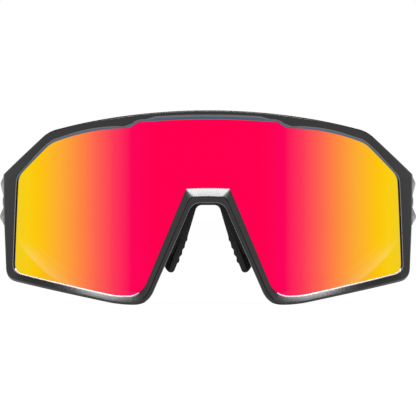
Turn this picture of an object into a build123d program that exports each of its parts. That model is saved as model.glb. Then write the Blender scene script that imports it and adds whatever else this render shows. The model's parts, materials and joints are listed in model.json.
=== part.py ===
from build123d import *
import os
from math import asin, hypot, tan

os.makedirs("parts", exist_ok=True)

# Wraparound sport sunglasses, in millimetres.
# +Z is up, the front faces -Y, the temples run back along +Y, and +X is the wearer's left.
# While the pieces are modelled, y = 0 is the foremost line of the lens and z = 0 is the table.
# At the end everything is moved along Y so that the origin is under the middle of the whole.

# Driving dimensions of the lens and the rim around it.
LENS_RADIUS = 86.0  # front of the lens, which is part of an upright cylinder
LENS_THICKNESS = 1.8
RIM_FRONT = 1.8  # how far the rim stands in front of the lens
RIM_BACK = 1.6  # how far it stands behind the lens
GROOVE_DEPTH = 1.2  # how far the lens reaches into the rim, in the front view
GROOVE_PLAY = 0.06

# Driving dimensions of the hinges. The axis is upright.
HINGE_X = 67.0
HINGE_Y = 45.5
HINGE_Z = 35.0
BARREL_RADIUS = 2.4
TONGUE_HEIGHT = 5.4
HINGE_HEIGHT = 14.0  # over both fork barrels
WASHER_THICKNESS = 0.25
TONGUE_GAP = 0.3  # between the tongue and each fork barrel
SWING_GAP = 0.35  # between a barrel and whatever turns past it
SCREW_RADIUS = 0.8
SCREW_HEAD_RADIUS = 1.6
SCREW_HEAD_HEIGHT = 0.9
BUSH_RADIUS = 1.5
RUNNING_FIT = 0.05
PRESS_PLAY = 0.02

# Driving dimensions of the temples.
TEMPLE_REACH = 126.0  # from the hinge axis back to the tip
EAR_BEND = 84.0  # from the hinge axis back to the bend over the ear
EAR_BEND_RADIUS = 60.0
CORE_RADIUS = 0.7

RIM_OUTSIDE = LENS_RADIUS + RIM_FRONT
LENS_INSIDE = LENS_RADIUS - LENS_THICKNESS
RIM_INSIDE = LENS_INSIDE - RIM_BACK

# Half outlines in the front view, from the top round to the nose: x, z and how long the corner's
# rounding is on each side of it. The rim's outside is read on its front surface.
RIM_OUTLINE = [
    (26.5, 65.9, 26.0),
    (55.0, 59.4, 3.0),
    (72.2, 44.7, 0.6),
    (72.1, 33.5, 8.0),
    (70.7, 7.8, 3.6),
    (30.0, 0.0, 4.4),
    (20.4, 0.0, 5.0),
    (5.2, 34.6, 2.8),
]
# The visible lens, with the shallow step in the brow.
OPENING_OUTLINE = [
    (12.0, 62.8, 10.5),
    (23.8, 61.9, 0.9),
    (26.6, 60.0, 1.0),
    (40.4, 59.6, 12.5),
    (54.3, 55.2, 1.8),
    (66.2, 44.0, 2.5),
    (67.8, 10.7, 3.2),
    (31.5, 3.1, 3.0),
    (22.7, 3.1, 5.0),
    (7.5, 39.4, 0.4),
]

# The bevel that runs down from the lens to the rim's front above the nose.
BRIDGE_BEVEL_TOP = 39.4
BRIDGE_BEVEL_BOTTOM = 36.7

# Nose saddle: half outlines at its front and at its rear, where it is wider, as the nose is.
SADDLE_FRONT_Y = 6.8
SADDLE_REAR_Y = 15.5
SADDLE_FRONT = [
    (6.6, 35.9, 2.0),
    (9.6, 26.0, 3.0),
    (14.9, 12.3, 1.2),
    (13.0, 10.3, 0.9),
    (11.2, 11.0, 0.9),
    (6.7, 23.2, 3.5),
    (3.5, 33.9, 1.8),
]
SADDLE_REAR = [
    (8.6, 35.9, 2.0),
    (12.4, 26.0, 3.0),
    (18.4, 12.8, 1.2),
    (16.8, 10.9, 0.9),
    (15.0, 11.6, 0.9),
    (9.8, 22.4, 3.5),
    (5.7, 33.9, 1.8),
]
# The rigid carrier behind the rim, and the rib on it that the saddle is pushed over.
CARRIER_OUTLINE = [
    (7.4, 36.6, 1.6),
    (15.3, 18.6, 0.8),
    (12.0, 17.0, 0.8),
    (4.5, 34.2, 1.4),
]
CARRIER_RIB = [
    (6.0, 35.3, 1.0),
    (13.5, 18.2, 0.3),
    (12.3, 17.7, 0.3),
    (5.2, 34.7, 0.8),
]
CARRIER_REAR_Y = SADDLE_FRONT_Y - 0.05
CARRIER_RIB_LENGTH = 3.0

# Temple sections from front to rear: distance along the spine, how far the section stands out of
# the spine and above it, thickness, half height, and depth of the channel between its two ridges.
ARM_SECTIONS = [
    (0.0, 0.0, 0.0, 4.2, 9.0, 1.2),
    (12.0, 2.2, 0.9, 4.5, 9.3, 1.3),
    (25.0, 3.7, 1.6, 4.7, 9.3, 1.5),
    (45.0, 3.5, 1.8, 4.4, 8.0, 1.4),
    (68.0, 2.0, 1.1, 4.0, 6.0, 0.9),
    (88.0, 0.0, 0.0, 3.8, 4.7, 0.2),
]
# Grip sections: distance along the spine, thickness and half height.
GRIP_SECTIONS = [
    (88.1, 4.6, 5.2),
    (99.0, 5.0, 5.3),
    (112.0, 5.2, 5.2),
    (124.0, 4.8, 4.7),
    (131.0, 3.6, 3.6),
    (133.5, 1.6, 1.6),
]
CORE_START = 80.0  # along the spine, inside the arm
CORE_END = 120.0  # inside the grip
TENON_LENGTH = 16.0
TENON_THICKNESS = 2.4
TENON_HEIGHT = 5.6
INLAY_START = 17.0
INLAY_END = 52.0
INLAY_PLAY = 0.04


def towards(corner, other, length):
    """The point that far from one corner on the straight way to another."""
    step_x, step_z = other[0] - corner[0], other[1] - corner[1]
    share = length / hypot(step_x, step_z)
    return corner[0] + share * step_x, corner[1] + share * step_z


def whole(half):
    """A half outline and its mirror image, as one closed list of corners."""
    return half + [(-x, z, rounding) for x, z, rounding in reversed(half)]


def moved_out(corners, distance):
    """A closed clockwise outline with each of its sides moved outwards."""
    moved = []
    for index, (x, z, rounding) in enumerate(corners):
        before = corners[index - 1]
        after = corners[(index + 1) % len(corners)]
        ahead_of_it = towards((0, 0), (x - before[0], z - before[1]), 1)
        past_it = towards((0, 0), (after[0] - x, after[1] - z), 1)
        normals = ((-ahead_of_it[1], ahead_of_it[0]), (-past_it[1], past_it[0]))
        (normal_x, normal_z), (other_x, other_z) = normals
        reach = distance / (1 + normal_x * other_x + normal_z * other_z)
        moved.append((x + reach * (normal_x + other_x), z + reach * (normal_z + other_z), rounding))
    return moved


def outline_wire(corners, place):
    """A closed wire with its corners rounded off; place turns an outline's point into one in space."""
    edges = []
    for index, corner in enumerate(corners):
        before = corners[index - 1]
        after = corners[(index + 1) % len(corners)]
        start = towards(corner, before, corner[2])
        end = towards(corner, after, corner[2])
        next_start = towards(after, corner, after[2])
        edges.append(Bezier(place(*start), place(*corner[:2]), place(*end)))
        edges.append(Line(place(*end), place(*next_start)))
    return Wire(edges)


def wedge(corners, radius):
    """All that lies on the level radial lines through an outline drawn on the cylinder of a radius."""
    def on_plane(distance):
        def place(x, z):
            return Vector(distance * tan(asin(x / radius)), LENS_RADIUS - distance, z)
        return place

    near_plane, far_plane = 0.45 * LENS_RADIUS, 1.1 * LENS_RADIUS
    near = outline_wire(corners, on_plane(near_plane))
    far = outline_wire(corners, on_plane(far_plane))
    return Solid.make_loft([near, far], ruled=True)


def shell(outer_radius, inner_radius):
    """An upright tube around the lens's axis, taller than the glasses."""
    height = 90
    tube = Cylinder(outer_radius, height) - Cylinder(inner_radius, height)
    return Pos(0, LENS_RADIUS, HINGE_Z) * tube


def hinge_cylinder(radius, bottom, top):
    """A solid cylinder on the left hinge's axis."""
    cylinder = Cylinder(radius, top - bottom, align=(Align.CENTER, Align.CENTER, Align.MIN))
    return Pos(HINGE_X, HINGE_Y, bottom) * cylinder


def hinge_box(low, high):
    """A box given by two corners as offsets from the left hinge's axis in X and Y, and heights in Z."""
    size = [top - bottom for bottom, top in zip(low, high)]
    box = Box(*size, align=(Align.MIN, Align.MIN, Align.MIN))
    return Pos(HINGE_X + low[0], HINGE_Y + low[1], low[2]) * box


def both_sides(shape):
    """A shape and its mirror image across the middle of the glasses."""
    return shape + mirror(shape, about=Plane.YZ)


TONGUE_BOTTOM = HINGE_Z - TONGUE_HEIGHT / 2
TONGUE_TOP = HINGE_Z + TONGUE_HEIGHT / 2
HINGE_BOTTOM = HINGE_Z - HINGE_HEIGHT / 2
HINGE_TOP = HINGE_Z + HINGE_HEIGHT / 2
FORKS = (
    (HINGE_BOTTOM, TONGUE_BOTTOM - TONGUE_GAP),
    (TONGUE_TOP + TONGUE_GAP, HINGE_TOP),
)
SCREW_SEAT = HINGE_TOP - SCREW_HEAD_HEIGHT - 0.1
INSERT_BOTTOM = HINGE_BOTTOM + 0.3
INSERT_TOP = FORKS[0][1] - 0.1
END_PIECE_REAR = -(BARREL_RADIUS + SWING_GAP)
SKIN_FRONT = END_PIECE_REAR + 0.25


def end_piece():
    """The left shoulder of the rim with the two barrels of the hinge's fork."""
    plan = Polyline(
        (HINGE_X + 5.0, HINGE_Y - 9.0),
        (HINGE_X + 4.8, HINGE_Y + END_PIECE_REAR),
        (HINGE_X - BARREL_RADIUS, HINGE_Y + END_PIECE_REAR),
        (HINGE_X - 3.0, HINGE_Y - 11.0),
        (HINGE_X + 3.0, HINGE_Y - 11.5),
        close=True,
    )
    bottom, top = HINGE_Z - 8.2, HINGE_Z + 8.6
    piece = Pos(0, 0, bottom) * extrude(make_face(plan), top - bottom)
    for fork_bottom, fork_top in FORKS:
        web = hinge_box(
            (-BARREL_RADIUS, END_PIECE_REAR - 1, fork_bottom),
            (BARREL_RADIUS, 0, fork_top),
        )
        piece += web + hinge_cylinder(BARREL_RADIUS, fork_bottom, fork_top)
    return piece


def hinge_holes():
    """What is bored out of the left fork: the screw's way, its head's seat and the insert's seat."""
    screw_way = hinge_cylinder(SCREW_RADIUS + RUNNING_FIT, HINGE_BOTTOM + 0.1, HINGE_TOP)
    head_seat = hinge_cylinder(SCREW_HEAD_RADIUS + RUNNING_FIT, SCREW_SEAT, HINGE_TOP + 1)
    insert_seat = hinge_cylinder(BUSH_RADIUS + PRESS_PLAY, INSERT_BOTTOM, FORKS[0][1] + 0.1)
    return screw_way + head_seat + insert_seat


def front_frame():
    """The moulded front: a full rim with the lens groove, the nose arch and both hinge forks."""
    rim = shell(RIM_OUTSIDE, RIM_INSIDE) & wedge(whole(RIM_OUTLINE), RIM_OUTSIDE)
    frame = rim + both_sides(end_piece())
    frame -= wedge(whole(OPENING_OUTLINE), RIM_OUTSIDE)
    groove = wedge(moved_out(whole(OPENING_OUTLINE), GROOVE_DEPTH), RIM_OUTSIDE)
    groove &= shell(LENS_RADIUS + GROOVE_PLAY, LENS_INSIDE - GROOVE_PLAY)
    frame -= groove
    bevel = Polyline(
        (0, -RIM_FRONT - 1, BRIDGE_BEVEL_BOTTOM - 1.6),
        (0, -RIM_FRONT - 1, BRIDGE_BEVEL_TOP + 1),
        (0, 0.3, BRIDGE_BEVEL_TOP + 0.4),
        close=True,
    )
    frame -= extrude(make_face(bevel), 6.3, dir=(1, 0, 0), both=True)
    return frame - both_sides(hinge_holes())


def shield_lens():
    """The one-piece lens, seated in the rim's groove all round."""
    edge = moved_out(whole(OPENING_OUTLINE), GROOVE_DEPTH - GROOVE_PLAY)
    return shell(LENS_RADIUS, LENS_INSIDE) & wedge(edge, RIM_OUTSIDE)


def upright_slab(corners, front, rear):
    """A closed outline of the front view, run straight back from one depth to another."""
    wires = [outline_wire(corners, lambda x, z, y=y: Vector(x, y, z)) for y in (front, rear)]
    return Solid.make_loft(wires, ruled=True)


def nose_pad_carrier():
    """The rigid clip behind the nose arch, with the rib that the saddle is pushed over."""
    seat = Pos(0, LENS_RADIUS, HINGE_Z) * Cylinder(RIM_INSIDE - GROOVE_PLAY, 90)
    clip = upright_slab(whole(CARRIER_OUTLINE), RIM_FRONT, CARRIER_REAR_Y) & seat
    rib_rear = CARRIER_REAR_Y + CARRIER_RIB_LENGTH
    return clip + upright_slab(whole(CARRIER_RIB), CARRIER_REAR_Y - 0.5, rib_rear)


def nose_pad():
    """The rubber saddle: an arch with two wings that spread towards the face."""
    depths = ((SADDLE_FRONT, SADDLE_FRONT_Y), (SADDLE_REAR, SADDLE_REAR_Y))
    wires = [outline_wire(whole(half), lambda x, z, y=y: Vector(x, y, z)) for half, y in depths]
    saddle = Solid.make_loft(wires, ruled=True)
    slot_outline = moved_out(whole(CARRIER_RIB), GROOVE_PLAY)
    slot_rear = CARRIER_REAR_Y + CARRIER_RIB_LENGTH + GROOVE_PLAY
    return saddle - upright_slab(slot_outline, SADDLE_FRONT_Y - 1, slot_rear)


def hinge_screw():
    """The left shouldered screw, with a slotted head."""
    shank = hinge_cylinder(SCREW_RADIUS, INSERT_BOTTOM + 0.4, SCREW_SEAT)
    head = hinge_cylinder(SCREW_HEAD_RADIUS, SCREW_SEAT, SCREW_SEAT + SCREW_HEAD_HEIGHT)
    slot = hinge_box(
        (-2 * SCREW_HEAD_RADIUS, -0.2, SCREW_SEAT + SCREW_HEAD_HEIGHT / 2),
        (2 * SCREW_HEAD_RADIUS, 0.2, HINGE_TOP),
    )
    return shank + head - slot


def ring(outer_radius, inner_radius, bottom, top):
    """A tube on the left hinge's axis."""
    return hinge_cylinder(outer_radius, bottom, top) - hinge_cylinder(inner_radius, bottom, top)


def hinge_washers():
    """The two washers between the left tongue and the fork."""
    bore = SCREW_RADIUS + RUNNING_FIT
    lower = ring(BARREL_RADIUS - 0.2, bore, FORKS[0][1], FORKS[0][1] + WASHER_THICKNESS)
    upper = ring(BARREL_RADIUS - 0.2, bore, FORKS[1][0] - WASHER_THICKNESS, FORKS[1][0])
    return Compound([lower.solid(), upper.solid()])


# The left temple's spine: straight from the hinge to the ear, one bend, and straight to the tip.
SPINE_FRONT = Vector(HINGE_X + 2.9, HINGE_Y + SKIN_FRONT - 1.5, HINGE_Z)
SPINE_EAR = Vector(HINGE_X + 1.8, HINGE_Y + EAR_BEND, HINGE_Z - 6.2)
SPINE_TIP = Vector(HINGE_X - 5.0, HINGE_Y + TEMPLE_REACH, 4.6)
SPINE = FilletPolyline(SPINE_FRONT, SPINE_EAR, SPINE_TIP, radius=EAR_BEND_RADIUS)


def station(distance, bow=0.0, lift=0.0):
    """How a section's outward and upward measures lie in space at a distance along the spine."""
    share = distance / SPINE.length
    centre = SPINE.position_at(share)
    along = SPINE.tangent_at(share)
    outward = Vector(1, 0, 0) - along * along.X
    outward = outward.normalized()
    upward = outward.cross(along)
    return lambda out, up: centre + outward * (out + bow) + upward * (up + lift)


def temple_loft(sections):
    """A smooth solid through closed section outlines, each given with its place on the spine."""
    return Solid.make_loft([outline_wire(corners, place) for corners, place in sections])


def ridged_section(thickness, half_height, channel):
    """A temple's section: flat inside, and two ridges with a channel between them outside."""
    inner, outer = -thickness / 2, thickness / 2
    return [
        (inner, 0.92 * half_height, 0.4),
        (outer - channel, half_height, 0.4),
        (outer - 0.3, 0.73 * half_height, 0.3),
        (outer - channel, 0.26 * half_height, 0.2),
        (outer - channel, -0.2 * half_height, 0.2),
        (outer, -0.57 * half_height, 0.3),
        (outer - 1.4 * channel - 0.5, -half_height, 0.4),
        (inner, -0.92 * half_height, 0.4),
    ]


def oval_section(thickness, half_height):
    """A grip's section: an upright slab with fully rounded top and bottom."""
    half = thickness / 2
    rounding = 0.9 * half
    return [
        (-half, half_height, rounding),
        (half, half_height, rounding),
        (half, -half_height, rounding),
        (-half, -half_height, rounding),
    ]


def inlay_section(distance, play):
    """The blank strip's section in the channel, a little larger for its seat."""
    places = [section[0] for section in ARM_SECTIONS]
    after = next(index for index, place in enumerate(places) if place > distance)
    low, high = ARM_SECTIONS[after - 1], ARM_SECTIONS[after]
    share = (distance - low[0]) / (high[0] - low[0])
    bow, lift, thickness, half_height, channel = [
        first + share * (second - first) for first, second in zip(low[1:], high[1:])
    ]
    floor = thickness / 2 - channel
    corners = [
        (floor - 0.7 - play, 0.2 * half_height + play, 0.15),
        (floor + 0.3, 0.2 * half_height + play, 0.15),
        (floor + 0.3, -0.15 * half_height - play, 0.15),
        (floor - 0.7 - play, -0.15 * half_height - play, 0.15),
    ]
    return corners, station(distance, bow, lift)


def temple_inlay(play=0.0):
    """The blank strip between the left temple's ridges."""
    middle = (INLAY_START + INLAY_END) / 2
    stations = (INLAY_START - play, middle, INLAY_END + play)
    return temple_loft([inlay_section(distance, play) for distance in stations])


def spine_run(start, end):
    """A stretch of the spine between two distances along it."""
    return SPINE.trim(start / SPINE.length, end / SPINE.length)


def bar_on_spine(section, start, end):
    """A flat section run along the spine between two distances."""
    path = spine_run(start, end)
    plane = Plane(origin=path @ 0, x_dir=(1, 0, 0), z_dir=path % 0)
    return sweep(plane * section, path=path)


def temple_core(play=0.0):
    """The metal core of the left tip, which lets it be bent to fit."""
    return bar_on_spine(Circle(CORE_RADIUS + play), CORE_START - play, CORE_END + play)


def tenon(play=0.0):
    """The tongue at the arm's rear that the left grip is pushed over."""
    section = RectangleRounded(TENON_THICKNESS + 2 * play, TENON_HEIGHT + 2 * play, 1.0)
    arm_end = ARM_SECTIONS[-1][0]
    return bar_on_spine(section, arm_end - 1, arm_end + TENON_LENGTH + play)


def hinge_tongue():
    """The knuckle that turns between the fork barrels, running out along the arm's inside."""
    plan = Polyline(
        (HINGE_X + 3.4, HINGE_Y),
        (HINGE_X + 3.4, HINGE_Y + 7.0),
        (HINGE_X - 0.6, HINGE_Y + 7.0),
        (HINGE_X - BARREL_RADIUS, HINGE_Y + 2.0),
        (HINGE_X - BARREL_RADIUS, HINGE_Y),
        close=True,
    )
    root = Pos(0, 0, TONGUE_BOTTOM) * extrude(make_face(plan), TONGUE_HEIGHT)
    return root + hinge_cylinder(BARREL_RADIUS, TONGUE_BOTTOM, TONGUE_TOP)


def temple_arm():
    """The left temple from the hinge tongue to the tenon."""
    sections = []
    for distance, bow, lift, thickness, half_height, channel in ARM_SECTIONS:
        corners = ridged_section(thickness, half_height, channel)
        sections.append((corners, station(distance, bow, lift)))
    arm = temple_loft(sections) + tenon()
    arm -= hinge_box((-10, SKIN_FRONT - 10, 0), (20, SKIN_FRONT, HINGE_TOP + 20))
    for fork_bottom, fork_top in FORKS:
        room = BARREL_RADIUS + SWING_GAP
        arm -= hinge_cylinder(room, fork_bottom - 0.5, fork_top + 0.5)
        arm -= hinge_box((-10, -10, fork_bottom - 0.5), (room, 0, fork_top + 0.5))
    arm += hinge_tongue()
    arm -= hinge_cylinder(BUSH_RADIUS + PRESS_PLAY, TONGUE_BOTTOM - 1, TONGUE_TOP + 1)
    return arm - temple_inlay(INLAY_PLAY) - temple_core(PRESS_PLAY)


def temple_grip():
    """The left rubber ear grip, hollow where the tenon and the core go in."""
    sections = [
        (oval_section(thickness, half_height), station(distance))
        for distance, thickness, half_height in GRIP_SECTIONS
    ]
    return temple_loft(sections) - tenon(PRESS_PLAY) - temple_core(PRESS_PLAY)


SIDE_PIECES = {
    "hinge_screw": hinge_screw(),
    "hinge_insert": ring(BUSH_RADIUS, SCREW_RADIUS + PRESS_PLAY, INSERT_BOTTOM, INSERT_TOP),
    "hinge_washers": hinge_washers(),
    "hinge_bush": ring(BUSH_RADIUS, SCREW_RADIUS + RUNNING_FIT, TONGUE_BOTTOM, TONGUE_TOP),
    "temple_arm": temple_arm(),
    "temple_grip": temple_grip(),
    "temple_core": temple_core(),
    "temple_inlay": temple_inlay(),
}

pieces = {
    "front_frame": front_frame(),
    "shield_lens": shield_lens(),
    "nose_pad_carrier": nose_pad_carrier(),
    "nose_pad": nose_pad(),
}
for name, piece in SIDE_PIECES.items():
    pieces["left_" + name] = piece
    pieces["right_" + name] = mirror(piece, about=Plane.YZ)

box = Compound(list(pieces.values())).bounding_box()
middle_y = (box.min.Y + box.max.Y) / 2
for name, piece in pieces.items():
    export_step(Pos(0, -middle_y, 0) * piece, f"parts/{name}.step")

print("whole:", box.size, "lowest z:", round(box.min.Z, 3))
print("hinge axis from the origin:", HINGE_X, round(HINGE_Y - middle_y, 3), HINGE_Z)
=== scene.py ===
import json
import math

import bmesh
import bpy
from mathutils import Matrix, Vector, geometry


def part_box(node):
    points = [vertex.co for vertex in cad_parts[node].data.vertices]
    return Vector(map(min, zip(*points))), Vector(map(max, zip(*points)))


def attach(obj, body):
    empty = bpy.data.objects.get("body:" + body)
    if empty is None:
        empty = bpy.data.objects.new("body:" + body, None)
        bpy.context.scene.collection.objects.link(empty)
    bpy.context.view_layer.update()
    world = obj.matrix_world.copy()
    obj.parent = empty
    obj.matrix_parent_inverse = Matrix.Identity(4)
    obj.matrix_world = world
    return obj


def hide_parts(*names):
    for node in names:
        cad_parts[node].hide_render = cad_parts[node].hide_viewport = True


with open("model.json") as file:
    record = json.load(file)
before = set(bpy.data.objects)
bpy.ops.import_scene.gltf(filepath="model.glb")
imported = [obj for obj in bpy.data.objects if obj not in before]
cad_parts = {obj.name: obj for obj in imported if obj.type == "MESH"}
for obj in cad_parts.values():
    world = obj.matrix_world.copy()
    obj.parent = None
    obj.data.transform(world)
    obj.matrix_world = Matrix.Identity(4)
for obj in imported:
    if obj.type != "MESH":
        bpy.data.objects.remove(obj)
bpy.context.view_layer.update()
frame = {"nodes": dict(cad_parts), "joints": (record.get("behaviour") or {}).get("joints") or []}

# Wraparound sport sunglasses. Shapes are worked out in millimetres in the frame's axes:
# +Z up, the front faces -Y, and +X is the wearer's left. finished() turns them into metres.
METRE = 1000.0
WELD = 0.002  # points nearer than this become one

# The lens is part of an upright cylinder, and its foremost line fixes where everything is in Y.
LENS_RADIUS = 86.0
LENS_THICKNESS = 1.8
LENS_FRONT_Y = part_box("shield_lens")[0].y * METRE
LENS_AXIS_Y = LENS_FRONT_Y + LENS_RADIUS
GROOVE_DEPTH = 1.15
GROOVE_PLAY = 0.03
RIM_BACK = LENS_THICKNESS + 1.55

LEFT_JOINT = next(joint for joint in frame["joints"] if joint["child"] == "left_temple")
HINGE = Vector(LEFT_JOINT["pos_m"]) * METRE
BARREL_RADIUS = 2.4
SWING_GAP = 0.35
TONGUE_HALF_HEIGHT = 2.7
FORKS = ((-7.0, -3.0), (3.0, 7.0))  # heights over the middle of the hinge
SCREW_RADIUS = 0.85
SCREW_HEAD_RADIUS = 1.65
SCREW_SEAT = 6.0
BUSH_RADIUS = 1.52  # the bush in the tongue, and the insert in the lower fork

# Half outlines in the front view, from the top round to the nose: x, z and how long the corner's
# rounding is on each side of it. The two have a corner for a corner, so that they pair up.
RIM_OUTLINE = [
    (9.0, 65.87, 8.8),
    (21.6, 64.9, 3.5),
    (28.8, 64.12, 3.5),
    (41.2, 62.4, 8.5),
    (54.95, 59.3, 3.0),
    (72.0, 44.65, 0.5),
    (72.0, 33.5, 8.0),
    (70.65, 7.8, 3.6),
    (30.0, 0.05, 4.4),
    (20.4, 0.05, 5.0),
    (5.2, 34.6, 2.8),
    (1.2, 34.6, 0.5),
]
OPENING_OUTLINE = [
    (9.0, 62.8, 8.8),
    (23.8, 61.95, 1.0),
    (26.6, 60.0, 1.1),
    (40.4, 59.6, 10.0),
    (54.3, 55.2, 2.4),
    (66.2, 44.0, 2.5),
    (66.75, 33.5, 6.0),
    (67.8, 10.6, 3.2),
    (31.5, 3.1, 3.0),
    (22.7, 3.1, 5.0),
    (7.45, 39.4, 0.35),
    (2.6, 39.58, 2.2),
]


def towards(point, other, length):
    """The point that far from one point on the straight way to another."""
    step = [b - a for a, b in zip(point, other)]
    share = length / math.hypot(*step)
    return tuple(a + share * d for a, d in zip(point, step))


def bend(start, corner, end, share):
    """A point of the curve that rounds a corner."""
    return tuple(
        (1 - share) ** 2 * a + 2 * share * (1 - share) * b + share**2 * c
        for a, b, c in zip(start, corner, end)
    )


def whole(half):
    """A half outline and its mirror image, as one closed list of corners."""
    return half + [(-x, z, rounding) for x, z, rounding in reversed(half)]


def rounded(corners, per_corner, per_side=None):
    """Points along a closed outline: per_corner on each corner, and per_side[i] after corner i."""
    points = []
    for index, corner in enumerate(corners):
        before, after = corners[index - 1], corners[(index + 1) % len(corners)]
        start = towards(corner[:2], before[:2], corner[2])
        end = towards(corner[:2], after[:2], corner[2])
        next_start = towards(after[:2], corner[:2], after[2])
        for step in range(per_corner):
            points.append(bend(start, corner[:2], end, step / (per_corner - 1)))
        extra = per_side[index] if per_side else 0
        for step in range(1, extra + 1):
            share = step / (extra + 1)
            points.append(tuple(a + share * (b - a) for a, b in zip(end, next_start)))
    return points


def side_counts(corners, spacing):
    """How many points go on each straight side of an outline, for a spacing in millimetres."""
    counts = []
    for index, corner in enumerate(corners):
        after = corners[(index + 1) % len(corners)]
        length = math.dist(corner[:2], after[:2]) - corner[2] - after[2]
        counts.append(max(1, round(length / spacing)))
    return counts


def moved_out(corners, distance):
    """A closed clockwise outline with each of its sides moved outwards."""
    moved = []
    for index, (x, z, rounding) in enumerate(corners):
        before, after = corners[index - 1], corners[(index + 1) % len(corners)]
        into = towards((0, 0), (x - before[0], z - before[1]), 1)
        out_of = towards((0, 0), (after[0] - x, after[1] - z), 1)
        reach = distance / (1 + into[0] * out_of[0] + into[1] * out_of[1])
        sideways, upwards = -reach * (into[1] + out_of[1]), reach * (into[0] + out_of[0])
        moved.append((x + sideways, z + upwards, rounding))
    return moved


def smooth(share):
    """A step from 0 to 1 that starts and ends gently."""
    share = min(1.0, max(0.0, share))
    return share * share * (3 - 2 * share)


# ---- meshes


def solid(points, faces):
    """A scratch solid made from points in millimetres, with its faces turned outwards."""
    mesh = bpy.data.meshes.new("solid")
    mesh.from_pydata([Vector(point) for point in points], [], faces)
    form = bmesh.new()
    form.from_mesh(mesh)
    bmesh.ops.recalc_face_normals(form, faces=form.faces)
    form.to_mesh(mesh)
    form.free()
    made = bpy.data.objects.new("solid", mesh)
    bpy.context.scene.collection.objects.link(made)
    return made


def finished(piece, name, side, body, cad_node, material=None, sharp=40):
    """Turn a scratch solid into a named piece of a side, in metres and clean.

    Without a material it keeps its own. Edges are sharp from that many degrees.
    """
    if side < 0:
        mirror_over(piece)
    form = bmesh.new()
    form.from_mesh(piece.data)
    bmesh.ops.remove_doubles(form, verts=form.verts, dist=WELD)
    bmesh.ops.dissolve_degenerate(form, edges=form.edges, dist=WELD)
    bmesh.ops.scale(form, vec=[1 / METRE] * 3, verts=form.verts)
    form.to_mesh(piece.data)
    form.free()
    piece.name = piece.data.name = name
    if material:
        piece.data.materials.clear()
        piece.data.materials.append(material)
    piece.data.shade_smooth()
    piece.data.set_sharp_from_angle(angle=math.radians(sharp))
    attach(piece, body)
    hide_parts(cad_node)


def rows_to_faces(rows, ring=False, caps=False):
    """Points and faces of a skin through closed rows of equally many points."""
    points = [point for row in rows for point in row]
    size, count = len(rows[0]), len(rows)
    faces = []
    for row in range(count if ring else count - 1):
        here, there = row * size, (row + 1) % count * size
        for column in range(size):
            beside = (column + 1) % size
            faces.append((here + column, here + beside, there + beside, there + column))
    if caps:
        faces.append(tuple(reversed(range(size))))
        faces.append(tuple(range((count - 1) * size, count * size)))
    return points, faces


def on_cylinder(along, height, radius):
    """A point in space from the way round the lens, at its front, a height and a radius."""
    angle = along / LENS_RADIUS
    return (radius * math.sin(angle), LENS_AXIS_Y - radius * math.cos(angle), height)


def way_round(x, radius):
    """How far round the lens's front a point of a radius lies whose x is known."""
    return LENS_RADIUS * math.asin(x / radius)


# ---- rim

# How the rim's face is cut, from the lens outwards: the chamfer beside the lens (width, rise), the
# ridge (share of the width, rise), how much lower the outer edge is, the ridge's rounding, how far
# the outer wall leans in towards the back, and what kind of run it is.
BROW_CENTRE = (0.95, 0.60, 0.84, 1.45, 0.35, 0.30, 0.0, "brow")
BROW = (0.55, 0.50, 0.86, 1.60, 0.40, 0.30, 0.0, "brow")
SIDE = (0.40, 0.45, 0.80, 1.75, 0.60, 0.60, 0.0, "side")
LOWER = (0.28, 0.30, 0.74, 1.25, 0.60, 0.16, 0.0, "lower")
LEG = (0.20, 0.26, 0.62, 1.75, 0.45, 0.18, 1.1, "leg")
ARCH = (0.06, 0.06, 0.57, 1.80, 0.30, 0.16, 0.3, "arch")
RIM_RUNS = [BROW_CENTRE, BROW, BROW, BROW, SIDE, SIDE, SIDE, LOWER, LOWER, LEG, ARCH, ARCH]
RIM_CORNER_STEPS = 11
RIM_SPACING = 1.8
SECTION_STEPS = 5  # points on each corner of the section
# Columns of faces along the rim, by the corner or the facet of the section that they are on.
LIP_COLUMNS = range(2 * SECTION_STEPS - 1, 2 * SECTION_STEPS + 2)
PALE_COLUMNS = range(2 * SECTION_STEPS + 2, 3 * SECTION_STEPS - 1)
INNER_FACET_COLUMN = 3 * SECTION_STEPS - 1
RIDGE_COLUMNS = range(3 * SECTION_STEPS, 4 * SECTION_STEPS - 1)
OUTER_FACET_COLUMN = 4 * SECTION_STEPS - 1
OUTER_EDGE_COLUMNS = range(4 * SECTION_STEPS, 5 * SECTION_STEPS - 1)
PLASTIC, LIP, PAINTED_HIGHLIGHT, PAINTED_SHADE, BEVEL = range(5)  # the rim's finishes; the second to the fourth are painted light and shade


def rim_profiles(counts):
    """The rim's cut at each point of its outlines, which changes from run to run at the corners."""
    runs = RIM_RUNS + RIM_RUNS[-2::-1] + [BROW_CENTRE]
    profiles = []
    for index, extra in enumerate(counts):
        before, after = runs[index - 1], runs[index]
        for step in range(RIM_CORNER_STEPS):
            share = smooth(step / (RIM_CORNER_STEPS - 1))
            between = [a + share * (b - a) for a, b in zip(before[:-1], after[:-1])]
            kind = before[-1] if share < 0.5 else after[-1]
            profiles.append(between + [kind])
        profiles.extend([list(after)] * extra)
    return profiles


def rim_section(width, profile):
    """The rim's closed section: distance outwards from the opening, and height over the lens.

    Each corner is given by these two and its rounding.
    """
    chamfer, chamfer_rise, ridge, rise, drop, ridge_rounding, lean, _ = profile
    back, floor = -RIM_BACK, -LENS_THICKNESS - GROOVE_PLAY
    corners = [
        (GROOVE_DEPTH, GROOVE_PLAY, 0.02),
        (0.0, GROOVE_PLAY, 0.02),
        (chamfer, chamfer_rise, 0.8 * chamfer),
        (ridge * width, rise, ridge_rounding),
        (width, rise - drop, 0.22),
        (width - lean, back, 0.7),
        (0.0, back, 0.55),
        (0.0, floor, 0.08),
        (GROOVE_DEPTH, floor, 0.05),
    ]
    return rounded(corners, SECTION_STEPS)


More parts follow.
